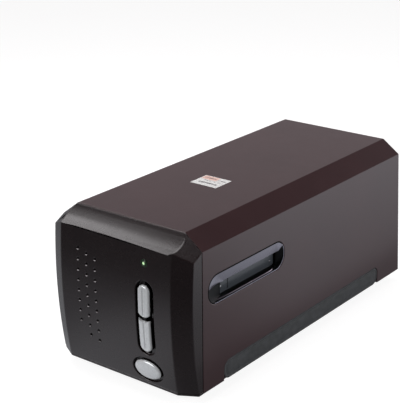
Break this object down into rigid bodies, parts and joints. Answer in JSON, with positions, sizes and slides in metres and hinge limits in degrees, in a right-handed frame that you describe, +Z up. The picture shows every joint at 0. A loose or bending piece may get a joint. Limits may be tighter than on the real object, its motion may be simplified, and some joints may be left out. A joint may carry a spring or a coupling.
{
  "type": "film scanner",
  "caption": "Desktop film scanner: narrow dark housing with bowed front, scan and power buttons, and side slots with dust doors for a film holder.",
  "frame": {"origin": "centre of the scanner's footprint box, on the surface that its feet stand on", "axes": "+X to the right as seen from the front, +Y from front to rear, +Z up"},
  "size_m": [0.12, 0.278, 0.119],
  "materials": {
    "cover": "dark brown metallic paint, satin",
    "bezel": "dark brown metallic paint, satin",
    "base": "fine texture",
    "slot_frame": "satin grey",
    "rubber": "matt",
    "label": "printed film",
    "light_pipe": "clear green",
    "circuit_board": "solder mask",
    "switch": "moulded",
    "switch_cap": "moulded",
    "button": "silver paint",
    "door": "satin",
    "steel": "ground",
    "chassis": "moulded",
    "bracket": "zinc plated sheet",
    "motor": "plated can",
    "brass": "sintered",
    "white_plastic": "moulded",
    "belt": "matt",
    "mirror": "first surface",
    "lens_barrel": "black anodised",
    "lens_glass": "coated",
    "light_bar": "diffuser",
    "port_metal": "plated",
    "screw": "black zinc"
  },
  "bodies": {
    "housing": {"top_cover": "cover", "front_bezel": "bezel", "base_tray": "base", "rear_panel": "base", "right_slot_frame": "slot_frame", "left_slot_frame": "slot_frame", "right_side_strip": "rubber", "left_side_strip": "rubber", "foot_front_right": "rubber", "foot_front_left": "rubber", "foot_rear_right": "rubber", "foot_rear_left": "rubber", "top_label": "label", "status_light": "light_pipe", "button_board": "circuit_board", "upper_switch": "switch", "lower_switch": "switch", "power_switch": "switch", "right_door_pin": "steel", "left_door_pin": "steel", "right_door_spring": "steel", "left_door_spring": "steel", "film_track_floor": "chassis", "film_track_roof": "chassis", "front_rod_bracket": "bracket", "rear_rod_bracket": "bracket", "right_guide_rod": "steel", "left_guide_rod": "steel", "motor_bracket": "bracket", "stepper_motor": "motor", "idler_pin": "steel", "drive_belt": "belt", "main_board": "circuit_board", "data_port": "port_metal", "power_jack": "switch", "base_screws": "screw", "panel_screws": "screw", "board_screws": "screw"},
    "carriage": {"carriage_body": "chassis", "carriage_lid": "chassis", "scan_mirror": "mirror", "lens_barrel": "lens_barrel", "lens_glass": "lens_glass", "sensor_board": "circuit_board", "light_arm": "chassis", "light_bar": "light_bar", "rod_bushes": "brass", "belt_clamp": "chassis"},
    "drive_pulley": {"drive_pulley": "brass"},
    "idler_pulley": {"idler_pulley": "white_plastic"},
    "upper_scan_button": {"upper_scan_button": "button", "upper_switch_cap": "switch_cap"},
    "lower_scan_button": {"lower_scan_button": "button", "lower_switch_cap": "switch_cap"},
    "power_button": {"power_button": "button", "power_switch_cap": "switch_cap"},
    "right_dust_door": {"right_dust_door": "door"},
    "left_dust_door": {"left_dust_door": "door"}
  },
  "joints": [
    {"name": "carriage_slide", "type": "slide", "parent": "housing", "child": "carriage", "axis": [0, -1, 0], "range_m": [0, 0.04]},
    {"name": "drive_pulley_turn", "type": "hinge", "parent": "housing", "child": "drive_pulley", "pos_m": [-0.03, 0.10883, 0.0487], "axis": [1, 0, 0], "range_deg": [0, 341.5]},
    {"name": "idler_pulley_turn", "type": "hinge", "parent": "housing", "child": "idler_pulley", "pos_m": [-0.03, -0.09425, 0.0487], "axis": [1, 0, 0], "range_deg": [0, 341.5]},
    {"name": "upper_scan_button_press", "type": "slide", "parent": "housing", "child": "upper_scan_button", "axis": [0, 1, 0], "range_m": [0, 0.0008], "stiffness_N_per_m": 600, "springref_m": -0.0008},
    {"name": "lower_scan_button_press", "type": "slide", "parent": "housing", "child": "lower_scan_button", "axis": [0, 1, 0], "range_m": [0, 0.0008], "stiffness_N_per_m": 600, "springref_m": -0.0008},
    {"name": "power_button_press", "type": "slide", "parent": "housing", "child": "power_button", "axis": [0, 1, 0], "range_m": [0, 0.0008], "stiffness_N_per_m": 600, "springref_m": -0.0008},
    {"name": "right_dust_door_swing", "type": "hinge", "parent": "housing", "child": "right_dust_door", "pos_m": [0.0513, -0.06375, 0.0822], "axis": [0, 1, 0], "range_deg": [0, 85], "stiffness_Nm_per_rad": 0.001, "springref_deg": -17.19},
    {"name": "left_dust_door_swing", "type": "hinge", "parent": "housing", "child": "left_dust_door", "pos_m": [-0.0513, -0.06375, 0.0822], "axis": [0, 1, 0], "range_deg": [-85, 0], "stiffness_Nm_per_rad": 0.001, "springref_deg": 17.19}
  ],
  "couplings": [
    {"joint": "drive_pulley_turn", "follows": "carriage_slide", "rad_per_m": 148.15},
    {"joint": "idler_pulley_turn", "follows": "carriage_slide", "rad_per_m": 148.15}
  ]
}
